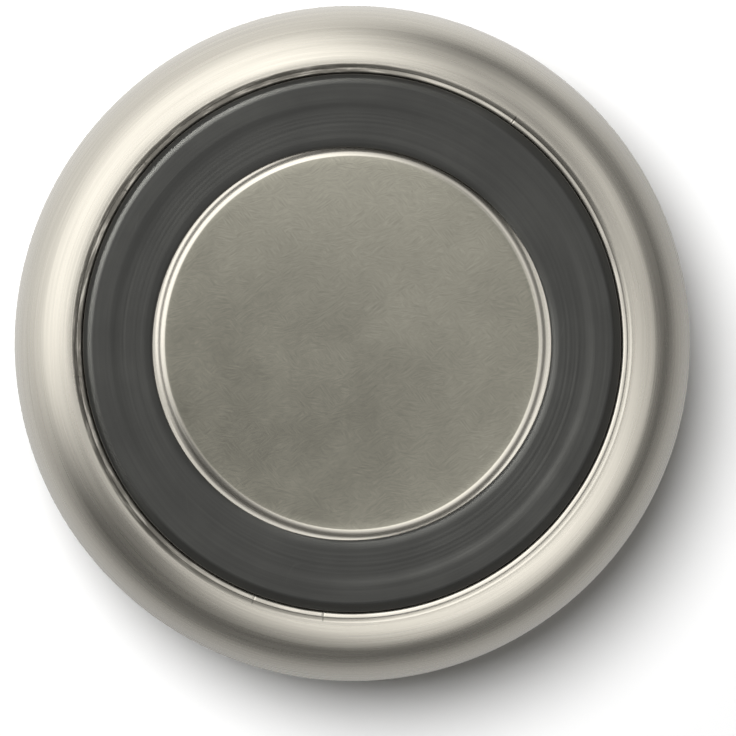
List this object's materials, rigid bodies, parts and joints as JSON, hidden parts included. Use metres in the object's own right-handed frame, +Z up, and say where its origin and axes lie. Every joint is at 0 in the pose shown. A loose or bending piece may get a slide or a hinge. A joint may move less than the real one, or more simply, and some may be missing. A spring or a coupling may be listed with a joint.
{
  "type": "stainless dog bowl",
  "caption": "Round double-walled stainless steel pet bowl with a barrel-shaped wall, a rolled brim, a pressed base and a dark silicone non-slip ring.",
  "frame": {"origin": "on the bowl's axis, on the surface that the silicone ring stands on", "axes": "+Z up along the bowl's axis, out of its mouth; X and Y level, with no front, because the bowl is round"},
  "size_m": [0.17, 0.17, 0.058],
  "materials": {
    "liner_steel": "stainless steel, finely brushed round the bowl, brim polished smoother",
    "shell_steel": "stainless steel, satin, finely brushed round the bowl",
    "pan_steel": "stainless steel, satin centre disc with fine mixed brushing, bright polished step",
    "silicone": "dark grey silicone rubber, satin, faintly dusty",
    "adhesive": "cured silicone adhesive, matte grey"
  },
  "bodies": {
    "root": {"inner_bowl": "liner_steel", "outer_shell": "shell_steel", "base_pan": "pan_steel", "non_slip_ring": "silicone", "ring_bond": "adhesive"}
  },
  "joints": []
}
